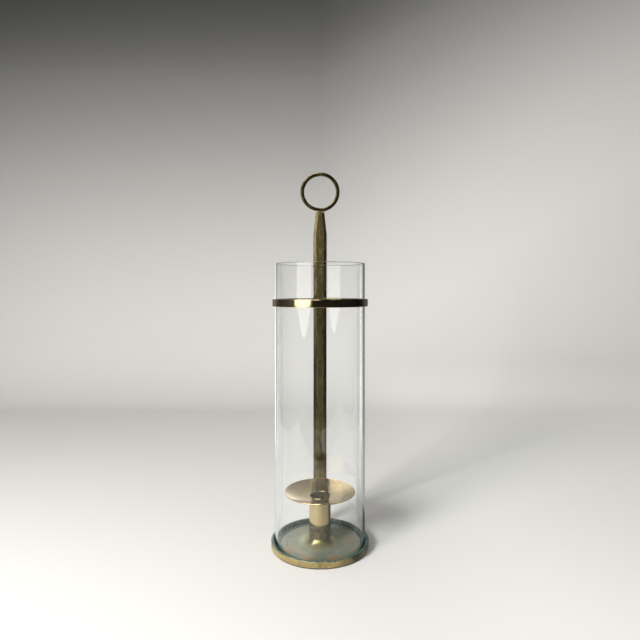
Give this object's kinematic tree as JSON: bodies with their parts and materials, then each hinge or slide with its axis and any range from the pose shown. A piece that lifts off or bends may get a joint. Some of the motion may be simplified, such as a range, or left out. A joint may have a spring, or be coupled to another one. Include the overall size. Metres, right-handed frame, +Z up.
{
  "type": "storm lantern",
  "caption": "Glass storm lantern for one candle: turned brass dish, candle tube with drip pan, open glass cylinder, collar, and an upright bar with a ring handle.",
  "frame": {"origin": "on the axis of the candle tube and the glass, at the underside of the base, on the table", "axes": "+Z up, from the base to the ring; the front is -Y and the bar stands behind the glass on +Y"},
  "size_m": [0.1088, 0.1137, 0.4285],
  "materials": {
    "dish_brass": "turned, tarnished outside and gone green inside",
    "tube_brass": "polished",
    "pan_brass": "polished",
    "collar_brass": "polished, lightly tarnished",
    "bar_brass": "hand-filed, browned with age",
    "ring_brass": "cast, browned with age",
    "rivet_brass": "peened",
    "screw_brass": "turned",
    "clear_glass": "clear, with a faint green tint at its edges",
    "felt": "dark pressed felt"
  },
  "bodies": {
    "lantern_frame": {"base_dish": "dish_brass", "felt_pad": "felt", "candle_tube": "tube_brass", "tube_plug": "tube_brass", "tube_screw": "screw_brass", "screw_washer": "screw_brass", "drip_pan": "pan_brass", "glass_collar": "collar_brass", "back_bar": "bar_brass", "handle_ring": "ring_brass", "collar_rivets": "rivet_brass", "foot_screws": "screw_brass"},
    "glass": {"glass_cylinder": "clear_glass"}
  },
  "joints": [
    {"name": "glass_lift", "type": "slide", "parent": "lantern_frame", "child": "glass", "axis": [0, 0, 1], "range_m": [0, 0.29]}
  ]
}
